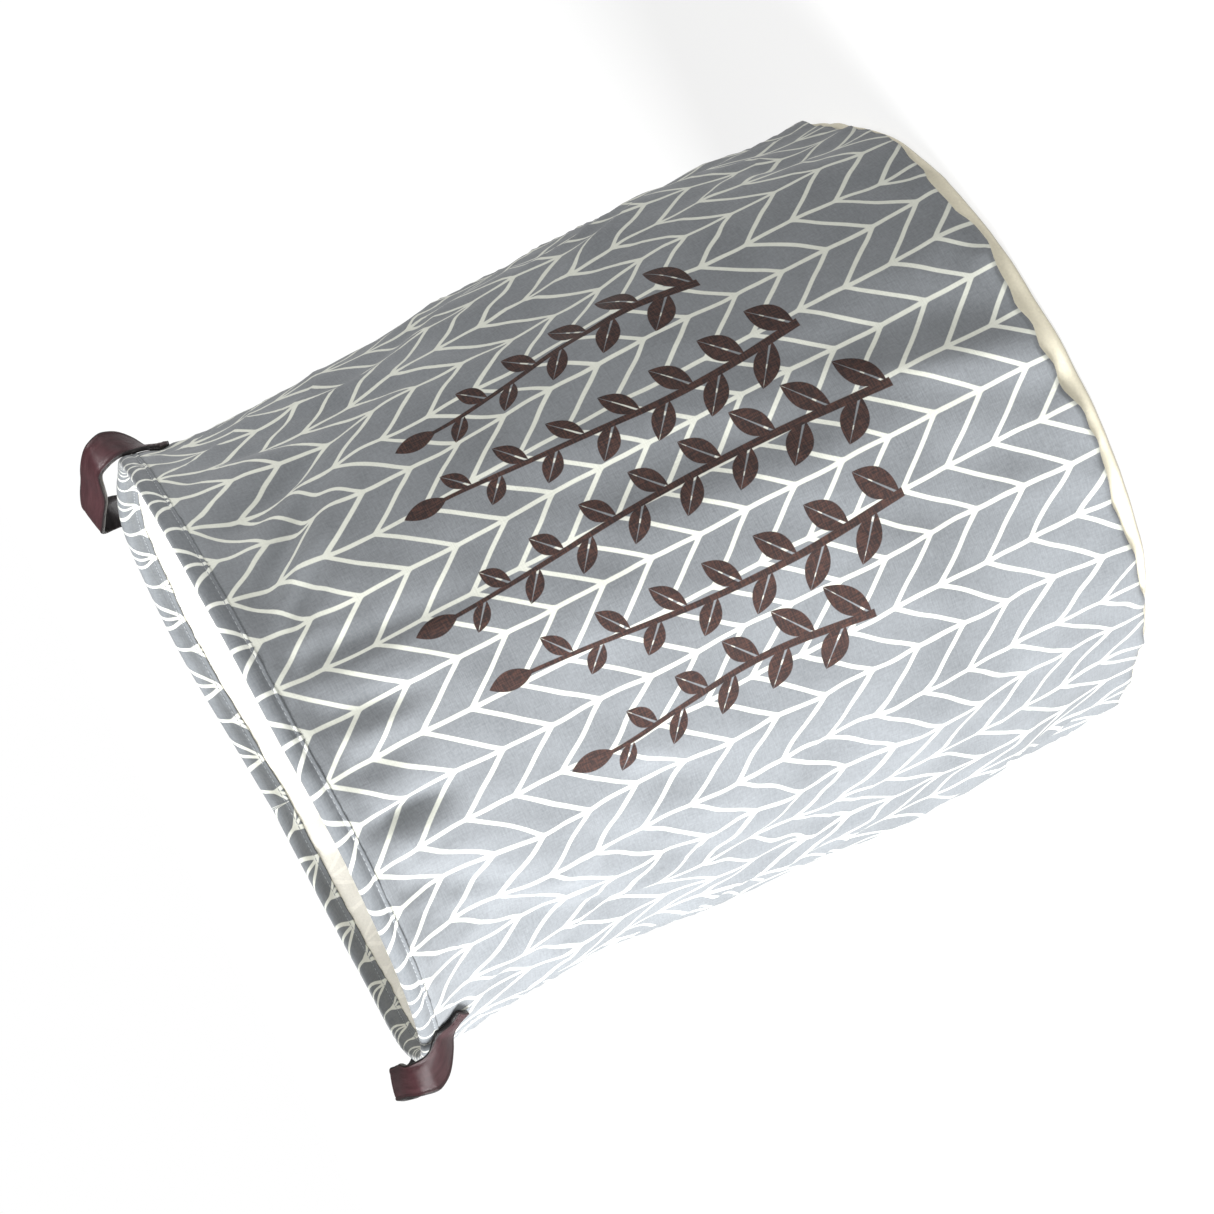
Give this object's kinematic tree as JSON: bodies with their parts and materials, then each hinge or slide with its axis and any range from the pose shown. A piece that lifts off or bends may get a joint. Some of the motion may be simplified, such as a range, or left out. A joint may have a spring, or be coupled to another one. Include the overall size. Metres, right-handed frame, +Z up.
{
  "type": "laundry hamper",
  "caption": "Round open laundry hamper of printed canvas with a chevron pattern, a hem at the rim, a cream lining and base, and a leather carrying handle on each side.",
  "frame": {"origin": "centre of the round base, on the floor that the hamper stands on", "axes": "+Z up along the hamper's axis, -Y towards the front of the picture, the two handles at -X and +X"},
  "size_m": [0.4048, 0.3906, 0.4723],
  "materials": {
    "printed_canvas": "woven cotton and linen canvas, printed grey with a cream chevron line and dark brown leaf sprigs, matt",
    "hem_canvas": "the same printed canvas, turned over and stitched, matt",
    "lining_cloth": "plain cream cotton with a thin coating, matt",
    "base_cloth": "plain cream canvas, matt",
    "strap_leather": "dark brown coated leather, fine grain, soft sheen"
  },
  "bodies": {
    "root": {"wall": "printed_canvas", "hem": "hem_canvas", "lining": "lining_cloth", "base": "base_cloth", "handle_left": "strap_leather", "handle_right": "strap_leather"}
  },
  "joints": []
}
